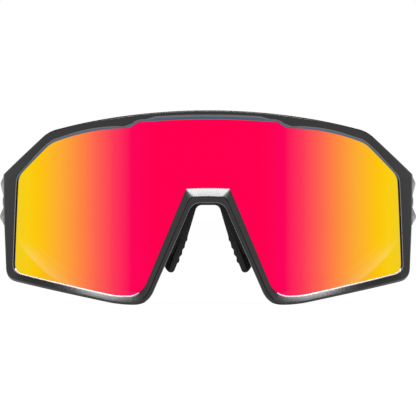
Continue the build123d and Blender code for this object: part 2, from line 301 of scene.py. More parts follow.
def rim_mesh():
    """Points and faces of the full rim: its section carried round the opening."""
    inner, outer = whole(OPENING_OUTLINE), whole(RIM_OUTLINE)
    counts = side_counts(inner, RIM_SPACING)
    profiles = rim_profiles(counts)
    pairs = zip(
        rounded(inner, RIM_CORNER_STEPS, counts),
        rounded(outer, RIM_CORNER_STEPS, counts),
        profiles,
    )
    rows = []
    for (inner_x, inner_z), (outer_x, outer_z), profile in pairs:
        _, _, _, rise, drop, *_ = profile
        edge_radius = LENS_RADIUS + rise - drop
        start = (way_round(inner_x, LENS_RADIUS), inner_z)
        end = (way_round(outer_x, edge_radius), outer_z)
        width = math.dist(start, end)
        row = []
        for across, height in rim_section(width, profile):
            along, z = towards(start, end, across)
            row.append(on_cylinder(along, z, LENS_RADIUS + height))
        rows.append(row)
    points, faces = rows_to_faces(rows, ring=True)
    columns = range(len(rows[0]))
    finishes = [rim_finish(column, profile[-1]) for profile in profiles for column in columns]
    return points, faces, finishes


def rim_finish(column, run):
    """The finish of a column of the rim's faces on one kind of run."""
    if run in ("leg", "arch"):
        # painted highlight along the nose-side edge of the legs and the arch
        if column in OUTER_EDGE_COLUMNS:
            return PAINTED_HIGHLIGHT
        # painted shade line along the ridge of the legs and the arch
        if column in RIDGE_COLUMNS:
            return PAINTED_SHADE
        return BEVEL if run == "arch" and column == INNER_FACET_COLUMN else PLASTIC
    # the lip, whose colour is painted light by which way it faces
    if column in LIP_COLUMNS:
        return LIP
    # painted highlight along the inner edge beside the lip
    if column in PALE_COLUMNS:
        return PAINTED_HIGHLIGHT
    # painted shade along the outer edge and the brow's outer facet
    if column in OUTER_EDGE_COLUMNS or (run == "brow" and column == OUTER_FACET_COLUMN):
        return PAINTED_SHADE
    return PLASTIC


def front_rim(finishes):
    """The moulded front, with the lip beside the lens coloured by painted light, painted highlights
    along its inner and nose-side edges, and painted shade lines along its outer edge and ridge.
    """
    points, faces, numbers = rim_mesh()
    rim = solid(points, faces)
    for material in finishes:
        rim.data.materials.append(material)
    for polygon, number in zip(rim.data.polygons, numbers):
        polygon.material_index = number
    for side in (1, -1):
        add_end_piece(rim, side)
    finished(rim, "front_rim", 1, "front", "front_frame")


# ---- lens

LENS_GRID = 1.6
LENS_CORNER_STEPS = 9
LENS_EDGE_GAP = 0.1  # between the lens's edge and the floor of the groove


def shield_lens(mirror, tint):
    """The lens: a dense curved sheet with its edge inside the rim's groove."""
    inner = [
        (way_round(x, LENS_RADIUS), z, rounding) for x, z, rounding in whole(OPENING_OUTLINE)
    ]
    edge = moved_out(inner, GROOVE_DEPTH - LENS_EDGE_GAP)
    border = rounded(edge, LENS_CORNER_STEPS, side_counts(edge, LENS_GRID))
    loop = list(range(len(border)))
    points = [Vector(point) for point in border] + grid_inside(border)
    flat, _, triangles, *_ = geometry.delaunay_2d_cdt(points, [], [loop], 1, 1e-5)
    front = [on_cylinder(p.x, p.y, LENS_RADIUS) for p in flat]
    back = [on_cylinder(p.x, p.y, LENS_RADIUS - LENS_THICKNESS) for p in flat]
    facing = Vector(triangle_normal(front, triangles[0])).y < 0
    outwards = [tuple(t) if facing else tuple(reversed(t)) for t in triangles]
    size = len(flat)
    faces = list(outwards)
    faces += [tuple(index + size for index in reversed(t)) for t in outwards]
    for a, b in border_edges(outwards):
        faces.append((b, a, a + size, b + size))
    lens = solid(front + back, faces)
    lens.data.materials.append(mirror)
    lens.data.materials.append(tint)
    for index, polygon in enumerate(lens.data.polygons):
        polygon.material_index = 0 if index < len(outwards) else 1
    finished(lens, "shield_lens_shaped", 1, "front", "shield_lens", sharp=50)


def grid_inside(border):
    """Grid points over a border's whole height and width, but for those that are close to it."""
    low_z, high_z = min(z for _, z in border), max(z for _, z in border)
    reach = max(x for x, _ in border)
    columns, rows = int(reach / LENS_GRID), int((high_z - low_z) / LENS_GRID)
    outline = [Vector(point) for point in border]
    grid = []
    for column in range(-columns, columns + 1):
        for row in range(rows + 1):
            point = Vector((column * LENS_GRID, low_z + (row + 0.5) * LENS_GRID))
            if min((point - other).length for other in outline) > 0.6 * LENS_GRID:
                grid.append(point)
    return grid


def triangle_normal(points, triangle):
    """The normal of a triangle given by its points' numbers."""
    a, b, c = (Vector(points[index]) for index in triangle[:3])
    return (b - a).cross(c - a)


def border_edges(triangles):
    """The directed edges that only one triangle uses."""
    directed = {(t[i], t[(i + 1) % len(t)]) for t in triangles for i in range(len(t))}
    return [edge for edge in sorted(directed) if edge[::-1] not in directed]


# ---- blocks

ROUND_STEP = 7.5  # degrees between the points of a round part
SHARP_EDGE = 30.0  # degrees from which an edge is bevelled
BEVEL_STEPS = 3
BEVEL_FULLNESS = 0.6


def arc(radius, start, end):
    """Points of a level arc about the hinge's axis, between two angles in degrees."""
    steps = round((end - start) / ROUND_STEP)
    angles = [math.radians(start + (end - start) * step / steps) for step in range(steps + 1)]
    return [(radius * math.cos(angle), radius * math.sin(angle)) for angle in angles]


def block(plan, bottom, top, bevel=0.0):
    """An upright prism at the left hinge: its plan and heights are offsets from the hinge."""
    count = len(plan)
    points = [HINGE + Vector((a, b, height)) for height in (bottom, top) for a, b in plan]
    faces = [tuple(reversed(range(count))), tuple(range(count, 2 * count))]
    faces += [(i, (i + 1) % count, count + (i + 1) % count, count + i) for i in range(count)]
    prism = solid(points, faces)
    if bevel:
        form = bmesh.new()
        form.from_mesh(prism.data)
        least = math.radians(SHARP_EDGE)
        sharp = [edge for edge in form.edges if edge.calc_face_angle() > least]
        bmesh.ops.bevel(
            form,
            geom=sharp,
            offset=bevel,
            segments=BEVEL_STEPS,
            profile=BEVEL_FULLNESS,
            affect="EDGES",
            clamp_overlap=True,
        )
        form.to_mesh(prism.data)
        form.free()
    return prism


def barrel(radius, bottom, top):
    """A cylinder on the left hinge's axis."""
    return block(arc(radius, 0, 360 - ROUND_STEP), bottom, top)


def combine(piece, other, operation):
    """Join another solid to a piece, or cut it out of the piece, and then remove the other."""
    modifier = piece.modifiers.new("combine", "BOOLEAN")
    modifier.operation = operation
    modifier.object = other
    modifier.solver = "EXACT"
    graph = bpy.context.evaluated_depsgraph_get()
    result = bpy.data.meshes.new_from_object(piece.evaluated_get(graph))
    piece.modifiers.clear()
    piece.data = result
    bpy.data.objects.remove(other)


def mirror_over(piece):
    """Turn a left solid into its right counterpart."""
    form = bmesh.new()
    form.from_mesh(piece.data)
    for vertex in form.verts:
        vertex.co.x = -vertex.co.x
    bmesh.ops.reverse_faces(form, faces=form.faces)
    form.to_mesh(piece.data)
    form.free()
    return piece


# ---- end pieces

# The shoulder's plan and heights, as offsets from the hinge.
END_PIECE_REAR = -(BARREL_RADIUS + SWING_GAP)
END_PIECE_PLAN = [
    (5.0, -9.0),
    (4.8, END_PIECE_REAR),
    (-2.4, END_PIECE_REAR),
    (-3.0, -11.0),
    (3.0, -11.5),
]
END_PIECE_BOTTOM = -8.2
END_PIECE_TOP = 8.6
END_PIECE_BEVEL = 0.7
FORK_OVERLAP = 1.0  # how far the forks reach into the shoulder
FORK_BEVEL = 0.25
SCREW_HOLE_FLOOR = FORKS[0][0] + 0.1
INSERT_HOLE_FLOOR = FORKS[0][0] + 0.3
INSERT_HOLE_TOP = FORKS[0][1] + 0.1
OVER_THE_FORKS = FORKS[1][1] + 1


def add_end_piece(rim, side):
    """The shoulder with the two fork barrels, and the holes for the screw and the insert."""
    fork_front = END_PIECE_REAR - FORK_OVERLAP
    fork = [(BARREL_RADIUS, fork_front), (BARREL_RADIUS, 0)]
    fork += arc(BARREL_RADIUS, ROUND_STEP, 180 - ROUND_STEP)
    fork += [(-BARREL_RADIUS, 0), (-BARREL_RADIUS, fork_front)]
    parts = [block(END_PIECE_PLAN, END_PIECE_BOTTOM, END_PIECE_TOP, END_PIECE_BEVEL)]
    parts += [block(fork, bottom, top, FORK_BEVEL) for bottom, top in FORKS]
    for part in parts:
        combine(rim, part if side > 0 else mirror_over(part), "UNION")
    holes = [
        barrel(SCREW_RADIUS, SCREW_HOLE_FLOOR, OVER_THE_FORKS),
        barrel(SCREW_HEAD_RADIUS, SCREW_SEAT, OVER_THE_FORKS),
        barrel(BUSH_RADIUS, INSERT_HOLE_FLOOR, INSERT_HOLE_TOP),
    ]
    for hole in holes:
        combine(rim, hole if side > 0 else mirror_over(hole), "DIFFERENCE")


# ---- temples

# The spine of the left temple, as in the CAD: straight, one bend over the ear, straight.
SPINE_FRONT = HINGE + Vector((2.9, -4.0, 0))
SPINE_EAR = HINGE + Vector((1.8, 84.0, -6.2))
SPINE_TIP = Vector((HINGE.x - 5.0, HINGE.y + 126.0, 4.6))
EAR_BEND_RADIUS = 60.0
ARM_FRONT = END_PIECE_REAR + 0.25  # the arm's flat front, behind the hinge's axis

# Distance along the spine, how far the section stands out of the spine and above it, thickness,
# half height, and depth of the channel between the two ridges.
ARM_SECTIONS = [
    (0.0, 0.0, 0.0, 4.2, 9.0, 1.2),
    (12.0, 2.2, 0.9, 4.5, 9.3, 1.3),
    (25.0, 3.7, 1.6, 4.7, 9.3, 1.5),
    (45.0, 3.5, 1.8, 4.4, 8.0, 1.4),
    (68.0, 2.0, 1.1, 4.0, 6.0, 0.9),
    (88.0, 0.0, 0.0, 3.8, 4.7, 0.2),
]
ARM_CORNER_STEPS = 7
ARM_SIDE_STEPS = 2
ARM_SPACING = 1.4
UPPER_RIDGE_DROP = 0.3  # how much less the upper ridge stands out than the lower one
# The arm's flat front has the section of a distance a little further back, drawn in to round its
# edge: how far it is drawn in, and how far behind the front.
ARM_FRONT_SECTION = 1.6
ARM_FRONT_ROUNDING = [(0.45, 0.0), (0.13, 0.13), (0.0, 0.45)]
ARM_RUN_START = 3.2
ARM_END = ARM_SECTIONS[-1][0]
ARM_RUN_END = ARM_END - 0.3
# Distance along the spine near the arm's end, and how far the section is drawn in.
ARM_END_ROUNDING = [(ARM_END - 0.08, 0.1), (ARM_END, 0.3)]

# Distance along the spine, thickness and half height.
GRIP_SECTIONS = [
    (88.1, 4.6, 5.2),
    (99.0, 5.0, 5.3),
    (112.0, 5.2, 5.2),
    (124.0, 4.8, 4.7),
    (131.0, 3.6, 3.6),
    (133.4, 1.9, 2.0),
]
GRIP_START = GRIP_SECTIONS[0][0]
GRIP_END = GRIP_SECTIONS[-1][0]
GRIP_POINTS = 56
GRIP_SQUARENESS = (0.55, 0.8)  # powers of the section's oval, across and in height
GRIP_EDGE = 0.35  # how far the grip's front edge is rounded in
GRIP_EDGE_LENGTH = 0.45
GRIP_TIP_LENGTH = 1.8
GRIP_TIP_ROUNDNESS = 0.93  # 1 would end it in a point
GRIP_GROOVES = (101.0, 122.0, 2.1)  # from, to and pitch, along the spine
GROOVE_WIDTH = 0.8
GROOVE_SHARE = 0.12  # how much of the grip's thickness a groove takes

INLAY_START = 17.0
INLAY_END = 52.0
INLAY_STEPS = 40
INLAY_PLAY = 0.07
INLAY_SEAT = 0.7  # how deep the strip lies in the arm
INLAY_SHOULDER = 0.15  # how high its edges and its middle stand over the channel's floor
INLAY_CROWN = 0.3
INLAY_MIDDLE = 0.025  # the strip's middle and half width, as shares of the arm's half height
INLAY_REACH = 0.175
INLAY_SQUARENESS = 14  # the higher, the squarer the strip's ends
INLAY_BLUNT_END = 0.06  # square of the share of its width that the strip keeps at its ends
INLAY_CORNER_STEPS = 4

TONGUE_BEVEL = 0.2
BUSH_HOLE_REACH = 5.0  # from the hinge, and well past the tongue
FORK_ROOM_REACH = 8.0
FORK_ROOM_PLAY = 0.5


def on_spine(distance):
    """The spine's point and direction at a distance along it."""
    into = (SPINE_EAR - SPINE_FRONT).normalized()
    out_of = (SPINE_TIP - SPINE_EAR).normalized()
    turn = into.angle(out_of)
    cut = EAR_BEND_RADIUS * math.tan(turn / 2)
    straight = (SPINE_EAR - SPINE_FRONT).length - cut
    if distance <= straight:
        return SPINE_FRONT + into * distance, into
    swept = (distance - straight) / EAR_BEND_RADIUS
    if swept >= turn:
        past = distance - straight - EAR_BEND_RADIUS * turn
        return SPINE_EAR + out_of * (cut + past), out_of
    sideways = (out_of - into * math.cos(turn)).normalized()
    forward = into * math.sin(swept) + sideways * (1 - math.cos(swept))
    place = SPINE_FRONT + into * straight + forward * EAR_BEND_RADIUS
    return place, into * math.cos(swept) + sideways * math.sin(swept)


def station(distance, bow=0.0, lift=0.0):
    """How a section's outward and upward measures lie in space at a distance along the spine."""
    centre, along = on_spine(distance)
    outward = Vector((1, 0, 0)) - along * along.x
    outward.normalize()
    upward = outward.cross(along)
    return lambda out, up: centre + outward * (out + bow) + upward * (up + lift)


def measures(sections, distance):
    """The measures between given sections, on a smooth curve through them."""
    last = len(sections) - 1
    after = next((i for i, section in enumerate(sections) if section[0] > distance), last)
    after = max(1, after)
    ends = [sections[max(0, after - 2)], sections[after - 1], sections[after]]
    ends.append(sections[min(last, after + 1)])
    low, high = ends[1], ends[2]
    span = high[0] - low[0]
    share = min(1.0, max(0.0, (distance - low[0]) / span))
    found = []
    for index in range(1, len(low)):
        values = [section[index] for section in ends]
        slope_low = (values[2] - values[0]) / (ends[2][0] - ends[0][0]) * span
        slope_high = (values[3] - values[1]) / (ends[3][0] - ends[1][0]) * span
        rise = values[2] - values[1]
        curve = values[1] + slope_low * share + (3 * rise - 2 * slope_low - slope_high) * share**2
        found.append(curve + (slope_low + slope_high - 2 * rise) * share**3)
    return found


def ridged_section(thickness, half_height, channel):
    """A temple's section: flat inside, and two ridges with a channel between them outside.

    Each corner is given by its place out and up, and its rounding.
    """
    inner, outer = -thickness / 2, thickness / 2
    return [
        (inner, 0.92 * half_height, 0.7),
        (outer - channel, half_height, 0.5),
        (outer - UPPER_RIDGE_DROP, 0.73 * half_height, 0.6),
        (outer - channel, 0.26 * half_height, 0.35),
        (outer - channel, -0.2 * half_height, 0.35),
        (outer, -0.57 * half_height, 0.7),
        (outer - 1.4 * channel - 0.5, -half_height, 0.5),
        (inner, -0.92 * half_height, 0.7),
    ]


def shrunk(corners, inset):
    """A section drawn together towards its middle, by a length on its inner and outer sides."""
    share = 1 - inset / max(abs(x) for x, _, _ in corners)
    height_share = 1 - inset / max(abs(z) for _, z, _ in corners)
    return [(x * share, z * height_share, rounding * share) for x, z, rounding in corners]


def loft(rows):
    """A closed scratch solid through rows of points."""
    return solid(*rows_to_faces(rows, caps=True))


def spaced(start, end, step):
    """Distances from start to end, no more than a step apart."""
    count = math.ceil((end - start) / step)
    return [start + (end - start) * index / count for index in range(count + 1)]


def arm_row(distance, inset):
    """The arm's section at a distance along the spine, drawn in by an inset."""
    bow, lift, thickness, half_height, channel = measures(ARM_SECTIONS, distance)
    corners = shrunk(ridged_section(thickness, half_height, channel), inset)
    outline = rounded(corners, ARM_CORNER_STEPS, [ARM_SIDE_STEPS] * len(corners))
    place = station(distance, bow, lift)
    return [place(*point) for point in outline]


def arm_rows():
    """Sections of the arm: a rounded flat front, the ridged run, and a rounded rear."""
    front_y = HINGE.y + ARM_FRONT
    rows = []
    for inset, back in ARM_FRONT_ROUNDING:
        row = arm_row(ARM_FRONT_SECTION, inset)
        rows.append([Vector((point.x, front_y + back, point.z)) for point in row])
    for distance in spaced(ARM_RUN_START, ARM_RUN_END, ARM_SPACING):
        rows.append(arm_row(distance, 0.0))
    for distance, inset in ARM_END_ROUNDING:
        rows.append(arm_row(distance, inset))
    return rows


def inlay_rows(play):
    """The strip between the ridges, with rounded ends, and larger by a play for its seat."""
    rows = []
    middle, half_length = (INLAY_START + INLAY_END) / 2, (INLAY_END - INLAY_START) / 2 + play
    for step in range(INLAY_STEPS + 1):
        share = -math.cos(math.pi * step / INLAY_STEPS)
        narrowing = math.sqrt(max(INLAY_BLUNT_END, 1 - abs(share) ** INLAY_SQUARENESS))
        distance = middle + share * half_length
        bow, lift, thickness, half_height, channel = measures(ARM_SECTIONS, distance)
        floor = thickness / 2 - channel
        seat = floor - INLAY_SEAT - play
        shoulder, crown = floor + INLAY_SHOULDER, floor + INLAY_CROWN
        middle_height = INLAY_MIDDLE * half_height
        reach = (INLAY_REACH * half_height + play) * narrowing
        soft = 0.15 * reach
        corners = [
            (seat, middle_height + reach, soft),
            (shoulder, middle_height + reach, 0.5 * soft),
            (crown, middle_height + 0.6 * reach, soft),
            (crown, middle_height - 0.6 * reach, soft),
            (shoulder, middle_height - reach, 0.5 * soft),
            (seat, middle_height - reach, soft),
        ]
        place = station(distance, bow, lift)
        rows.append([place(*point) for point in rounded(corners, INLAY_CORNER_STEPS)])
    return rows


def tongue():
    """The knuckle that turns between the fork barrels, running out along the arm's inside."""
    plan = [(3.4, 7.0), (-0.6, 7.0), (-1.5, 5.8), (-BARREL_RADIUS, 2.0)]
    plan += arc(BARREL_RADIUS, 180, 360) + [(3.4, 0.0)]
    return block(plan, -TONGUE_HALF_HEIGHT, TONGUE_HALF_HEIGHT, TONGUE_BEVEL)


def fork_room(bottom, top):
    """The room that a fork barrel and its web take inside the arm."""
    room = BARREL_RADIUS + SWING_GAP
    far = -FORK_ROOM_REACH
    plan = [(far, far), (room, far)] + arc(room, 0, 180) + [(far, 0.0)]
    return block(plan, bottom - FORK_ROOM_PLAY, top + FORK_ROOM_PLAY)


def temple_arm(side, body, material):
    """The moulded temple arm with its hinge knuckle."""
    arm = loft(arm_rows())
    for bottom, top in FORKS:
        combine(arm, fork_room(bottom, top), "DIFFERENCE")
    combine(arm, tongue(), "UNION")
    combine(arm, barrel(BUSH_RADIUS, -BUSH_HOLE_REACH, BUSH_HOLE_REACH), "DIFFERENCE")
    combine(arm, loft(inlay_rows(INLAY_PLAY)), "DIFFERENCE")
    finished(arm, body + "_arm_shaped", side, body, body + "_arm", material)


def groove_depth(distance):
    """How deep the grip's grooves are at a distance along the spine, from 0 to 1."""
    start, end, pitch = GRIP_GROOVES
    if not start <= distance <= end:
        return 0.0
    off = abs((distance - start + pitch / 2) % pitch - pitch / 2)
    return 1 - smooth(off / (GROOVE_WIDTH / 2))


def grip_distances():
    """Where the grip's sections lie along the spine: close together at its edge and its grooves."""
    first_groove, last_groove, _ = GRIP_GROOVES
    distances = [GRIP_START, GRIP_START + 0.12, GRIP_START + 0.4]
    distances += spaced(GRIP_START + 1.2, first_groove - 1, 1.4)
    distances += spaced(first_groove - 0.4, last_groove + 0.4, 0.3)
    distances += spaced(last_groove + 1, GRIP_END, 0.5)
    return distances


def grip_row(distance):
    """The grip's section at a distance along the spine."""
    thickness, half_height = measures(GRIP_SECTIONS, distance)
    edge = GRIP_EDGE * (1 - smooth((distance - GRIP_START) / GRIP_EDGE_LENGTH))
    tip = max(0.0, (distance - GRIP_END + GRIP_TIP_LENGTH) / GRIP_TIP_LENGTH)
    roundness = math.sqrt(max(0.0, 1 - GRIP_TIP_ROUNDNESS * tip**2))
    waist = 1 - GROOVE_SHARE * groove_depth(distance)
    place = station(distance)
    row = []
    for step in range(GRIP_POINTS):
        angle = 2 * math.pi * step / GRIP_POINTS
        across = signed_power(math.cos(angle), GRIP_SQUARENESS[0])
        upward = signed_power(math.sin(angle), GRIP_SQUARENESS[1])
        out = (thickness / 2 - edge) * roundness * across
        up = (half_height - edge) * roundness * upward
        row.append(place(out * waist, up))
    return row


def signed_power(value, power):
    """A power of a value's size, with the value's sign."""
    return math.copysign(abs(value) ** power, value)


def temple_grip(side, body, material):
    """The rubber ear grip with cross grooves, over a rounded tip."""
    grip = loft([grip_row(distance) for distance in grip_distances()])
    finished(grip, body + "_grip_shaped", side, body, body + "_grip", material)


def temple_inlay(side, body, material):
    """The gloss strip in the channel, left blank."""
    strip = loft(inlay_rows(0.0))
    finished(strip, body + "_inlay_shaped", side, body, body + "_inlay", material)


# ---- nose pad

# The saddle's inner and outer edges from the middle of the arch to the end of a wing, at its front
# and at its rear, as offsets from the lens front: x, z and the corner's rounding.
PAD_FRONT_Y = 6.8
PAD_REAR_Y = 15.5
PAD_INNER_FRONT = [(0.0, 33.9, 0), (3.6, 33.9, 1.8), (6.9, 22.6, 4.0), (11.2, 11.6, 0)]
PAD_OUTER_FRONT = [(0.0, 35.7, 0), (6.4, 35.7, 2.0), (9.7, 26.0, 4.0), (14.0, 13.4, 0)]
PAD_INNER_REAR = [(0.0, 33.9, 0), (5.7, 33.9, 1.8), (9.9, 22.4, 4.0), (13.5, 15.4, 0)]
PAD_OUTER_REAR = [(0.0, 35.7, 0), (8.6, 35.7, 2.0), (12.5, 26.0, 4.0), (16.5, 17.0, 0)]
PAD_CORNER_STEPS = 9
PAD_SIDE_STEPS = 12
PAD_END = 1.9  # how far the rounded end of a wing reaches past those lines
PAD_END_STEPS = 8
PAD_END_SIZE = 0.04  # the size of the last section of a wing's rounded end
PAD_RIB_PITCH = 2.5
PAD_RIBS = (13.6, 23.6)  # the lowest and highest of the ribs
PAD_RIB_FADE = 0.8  # the height over which the ribs start and end
PAD_RIB_HEIGHT = 0.42


def open_line(corners, per_corner, per_side):
    """Points along an open line whose middle corners are rounded."""
    points = []
    start = corners[0][:2]
    for before, corner, after in zip(corners, corners[1:], corners[2:]):
        into = towards(corner[:2], before[:2], corner[2])
        out_of = towards(corner[:2], after[:2], corner[2])
        for step in range(per_side):
            points.append(tuple(a + step / per_side * (b - a) for a, b in zip(start, into)))
        for step in range(per_corner):
            points.append(bend(into, corner[:2], out_of, step / per_corner))
        start = out_of
    end = corners[-1][:2]
    for step in range(3 * per_side + 1):
        points.append(tuple(a + step / (3 * per_side) * (b - a) for a, b in zip(start, end)))
    return points


def pad_section(width, depth):
    """The wing's section, as distance outwards from its inner edge and back from its front.

    A groove runs down its front, two thirds of the way out. Corners are given with their rounding.
    """
    corners = [
        (0.0, 0.15, 0.5),
        (0.3 * width, 0.0, 0.3),
        (0.64 * width, 0.0, 0.12),
        (0.69 * width, 0.75, 0.12),
        (0.76 * width, 0.35, 0.12),
        (width, 0.8, 0.4),
        (width, depth, 0.9),
        (0.5 * width, depth, 0.4),
        (0.0, depth, 1.0),
    ]
    return rounded(corners, 5, [2, 2, 1, 1, 1, 5, 1, 1, 5])


def pad_rows():
    """Sections of the saddle from the end of the right wing over the arch to the left one."""
    edges = [
        [Vector(point) for point in open_line(line, PAD_CORNER_STEPS, PAD_SIDE_STEPS)]
        for line in (PAD_INNER_FRONT, PAD_OUTER_FRONT, PAD_INNER_REAR, PAD_OUTER_REAR)
    ]
    half = [pad_row(*points, 1.0) for points in zip(*edges)]
    down = (edges[0][-1] - edges[0][-2]).normalized()
    for step in range(1, PAD_END_STEPS + 1):
        angle = math.pi / 2 * step / PAD_END_STEPS
        reach = down * PAD_END * math.sin(angle)
        points = [edge[-1] + reach for edge in edges]
        half.append(pad_row(*points, max(PAD_END_SIZE, math.cos(angle))))
    mirrored = [[Vector((-p.x, p.y, p.z)) for p in row] for row in half[:0:-1]]
    return mirrored + half


def pad_row(inner_front, outer_front, inner_rear, outer_rear, size):
    """One section of the saddle, drawn together towards its middle by a factor."""
    width = (outer_front - inner_front).length
    depth = PAD_REAR_Y - PAD_FRONT_Y
    inwards = (inner_front - outer_front).normalized()
    low, high = PAD_RIBS
    over, under = inner_front.y - low, high - inner_front.y
    ribbed = smooth(over / PAD_RIB_FADE) * smooth(under / PAD_RIB_FADE)
    wave = 0.5 - 0.5 * math.cos(2 * math.pi * over / PAD_RIB_PITCH)
    row = []
    for across, back in pad_section(width, depth):
        across_share = 0.5 + (across / width - 0.5) * size
        back_share = 0.5 + (back / depth - 0.5) * (0.7 + 0.3 * size)
        near = inner_front.lerp(outer_front, across_share)
        far = inner_rear.lerp(outer_rear, across_share)
        flat = near.lerp(far, back_share)
        rib = PAD_RIB_HEIGHT * ribbed * wave * max(0.0, 1 - 3 * across_share)
        flat += inwards * rib
        row.append(Vector((flat.x, LENS_FRONT_Y + PAD_FRONT_Y + back_share * depth, flat.y)))
    return row


def nose_pad(material):
    """The ribbed rubber saddle."""
    pad = loft(pad_rows())
    finished(pad, "nose_saddle_shaped", 1, "front", "nose_pad", material)


# ---- materials


def linear(screen):
    """A screen value from 0 to 255, as the linear value that shaders take."""
    share = screen / 255
    return share / 12.92 if share <= 0.04045 else ((share + 0.055) / 1.055) ** 2.4


class Look:
    """A material under construction, with short ways to add and join nodes."""

    def __init__(self, name, **settings):
        self.material = bpy.data.materials.new(name)
        self.material.use_nodes = True
        self.tree = self.material.node_tree
        self.shader = self.tree.nodes["Principled BSDF"]
        for socket, value in settings.items():
            self.shader.inputs[socket.replace("_", " ")].default_value = value

    def add(self, kind, inputs=None, **settings):
        """A new node with its settings and its inputs' values or links."""
        node = self.tree.nodes.new("ShaderNode" + kind)
        for key, value in settings.items():
            setattr(node, key, value)
        for socket, value in (inputs or {}).items():
            if isinstance(value, bpy.types.NodeSocket):
                self.tree.links.new(value, node.inputs[socket])
            else:
                node.inputs[socket].default_value = value
        return node

    def place(self):
        """The place in the object, in metres."""
        return self.add("TexCoord").outputs["Object"]

    def noise(self, scale, detail, stretch=(1, 1, 1)):
        """Noise whose scale is in features per metre."""
        mapped = self.add("Mapping", {"Vector": self.place(), "Scale": stretch})
        made = self.add("TexNoise", {"Vector": mapped.outputs[0], "Scale": scale, "Detail": detail})
        return made.outputs["Fac"]

    def spread(self, value, low, high, from_low=0.3, from_high=0.7):
        """A value mapped to a range from another, which is by default the one that noise has."""
        ranges = {1: from_low, 2: from_high, 3: low, 4: high}
        return self.add("MapRange", {"Value": value, **ranges}).outputs[0]

    def tint(self, factor, first, second):
        """A colour mixed by a factor from two, of which the first may be another node's colour."""
        mix = self.add("Mix", data_type="RGBA")
        self.tree.links.new(factor, mix.inputs["Factor"])
        if isinstance(first, bpy.types.NodeSocket):
            self.tree.links.new(first, mix.inputs["A"])
        else:
            mix.inputs["A"].default_value = first
        mix.inputs["B"].default_value = second
        return mix.outputs["Result"]

    def ramp(self, factor, stops):
        """A colour from stops of a position and a colour, over a factor from 0 to 1."""
        node = self.add("ValToRGB", {"Fac": factor})
        elements = node.color_ramp.elements
        while len(elements) < len(stops):
            elements.new(0.5)
        for element, (position, colour) in zip(elements, stops):
            element.position = position
            element.color = colour
        return node.outputs["Color"]

    def join(self, output, socket):
        """Link a node's output to the shader."""
        self.tree.links.new(output, self.shader.inputs[socket])

    def mottle(self, scale, detail, first, second):
        """A base colour that varies between two."""
        self.join(self.tint(self.noise(scale, detail), first, second), "Base Color")

    def scuff(self, scale, detail, low, high):
        """A roughness that varies between two."""
        self.join(self.spread(self.noise(scale, detail), low, high), "Roughness")

    def bump(self, height, depth):
        """A bump of a depth in millimetres."""
        node = self.add("Bump", {"Height": height, "Strength": 1.0, "Distance": depth / METRE})
        self.join(node.outputs[0], "Normal")


def frame_plastic():
    """Satin moulded nylon: near black, and a little uneven in colour and in gloss."""
    look = Look("frame_plastic", Specular_IOR_Level=0.44)
    look.mottle(260, 4, (0.002, 0.0021, 0.0028, 1), (0.0038, 0.0039, 0.0046, 1))
    look.scuff(700, 3, 0.27, 0.31)
    return look.material


def lip_painted_by_facing():
    """The lip beside the lens, coloured by which way it faces: a steel-blue painted reflection
    above the lens, navy painted shade at its sides, and a pale painted highlight below.
    """
    look = Look("lip_painted_by_facing")
    normal = look.add("TexCoord").outputs["Normal"]
    facing = look.add("SeparateXYZ", {"Vector": normal}).outputs["Z"]
    # Painted light by facing: steel blue is a painted reflection, navy is painted shade, pale is a
    # painted highlight.
    steel, navy, pale = (0.07, 0.13, 0.19, 1), (0.006, 0.007, 0.02, 1), (0.62, 0.59, 0.60, 1)
    stops = [(0.2, steel), (0.45, navy), (0.68, navy), (0.82, pale)]
    look.join(look.ramp(look.spread(facing, 0, 1, -1, 1), stops), "Base Color")
    look.join(look.spread(facing, 0.9, 0.2, 0.36, 0.64), "Metallic")
    look.scuff(800, 3, 0.2, 0.3)
    return look.material


def polished_bevel():
    """The bevel over the nose: the frame's nylon, polished glossier."""
    look = Look("polished_bevel", Specular_IOR_Level=0.66)
    look.mottle(260, 4, (0.004, 0.004, 0.005, 1), (0.006, 0.006, 0.007, 1))
    look.scuff(500, 2, 0.24, 0.26)
    return look.material


def edge_painted_highlight():
    """The same nylon painted much paler, as a painted highlight along the rim's inner edge and the
    nose-side edge of the bridge.
    """
    look = Look("edge_painted_highlight", Specular_IOR_Level=0.5)
    look.mottle(900, 3, (0.09, 0.09, 0.10, 1), (0.13, 0.13, 0.14, 1))
    look.scuff(900, 3, 0.2, 0.3)
    return look.material


def shade_line_painted():
    """Painted shade: matte black nylon with almost no reflection, standing in for shadow lines
    along the rim's outer edge and the ridge of the bridge.
    """
    look = Look("shade_line_painted", Specular_IOR_Level=0.02)
    look.mottle(600, 3, (0.002, 0.002, 0.0025, 1), (0.004, 0.004, 0.0045, 1))
    look.scuff(900, 3, 0.55, 0.7)
    return look.material


def carrier_plastic():
    """Matte moulded plastic of the nose clip."""
    look = Look("carrier_plastic", Specular_IOR_Level=0.3)
    look.mottle(300, 3, (0.004, 0.004, 0.0045, 1), (0.007, 0.007, 0.0075, 1))
    look.scuff(1200, 3, 0.45, 0.6)
    look.bump(look.noise(6000, 2), 0.003)
    return look.material


def soft_rubber():
    """Matte black silicone rubber with a fine skin grain and faint dust in it."""
    look = Look("soft_rubber", Specular_IOR_Level=0.28)
    look.mottle(420, 5, (0.0035, 0.0035, 0.004, 1), (0.0075, 0.0075, 0.008, 1))
    look.scuff(1500, 3, 0.5, 0.68)
    look.bump(look.noise(7000, 2), 0.004)
    return look.material


def machined(name, first, second, roughness, lines):
    """A turned metal: rings round the hinge's axis, with a little tarnish."""
    look = Look(name, Metallic=1.0)
    look.mottle(700, 4, first, second)
    rings = look.noise(1600, 3, (1, 1, 6))
    look.join(look.spread(rings, roughness, roughness + 0.12), "Roughness")
    look.bump(look.noise(lines, 2, (0.15, 0.15, 4)), 0.004)
    return look.material


